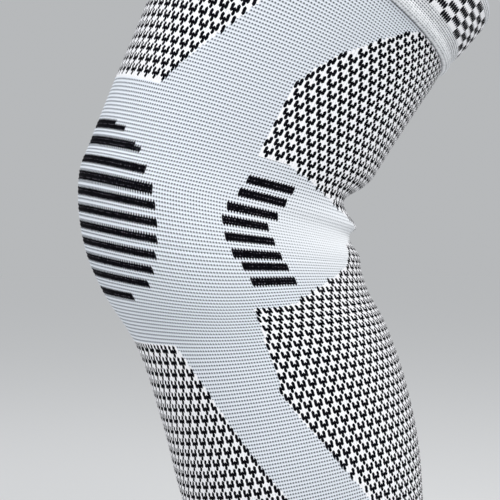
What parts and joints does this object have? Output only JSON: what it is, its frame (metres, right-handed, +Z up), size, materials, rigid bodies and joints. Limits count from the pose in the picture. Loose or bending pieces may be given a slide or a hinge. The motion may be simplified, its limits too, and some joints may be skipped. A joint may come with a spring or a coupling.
{
  "type": "knee sleeve",
  "caption": "Knitted knee sleeve bent as worn, open at thigh and shank, with a cuff at each end and a soft gel ring inside round the kneecap.",
  "frame": {"origin": "where the middle line of the thigh meets the middle line of the shank, in the middle of the knee", "axes": "+Z up, towards the thigh's rim; -X towards the kneecap and +X towards the hollow of the knee; Y from side to side, and the sleeve is alike on both sides of Y = 0"},
  "size_m": [0.1909, 0.1442, 0.3636],
  "materials": {
    "patterned_knit": "matt elastic knit in white and pale grey with black knitted-in motifs",
    "cuff_knit": "matt ribbed elastic knit in pale grey with a row of black blocks",
    "silicone_gel": "smooth translucent pale blue silicone gel"
  },
  "bodies": {
    "root": {"sleeve_tube": "patterned_knit", "upper_cuff": "cuff_knit", "lower_cuff": "cuff_knit", "patella_ring": "silicone_gel"}
  },
  "joints": []
}
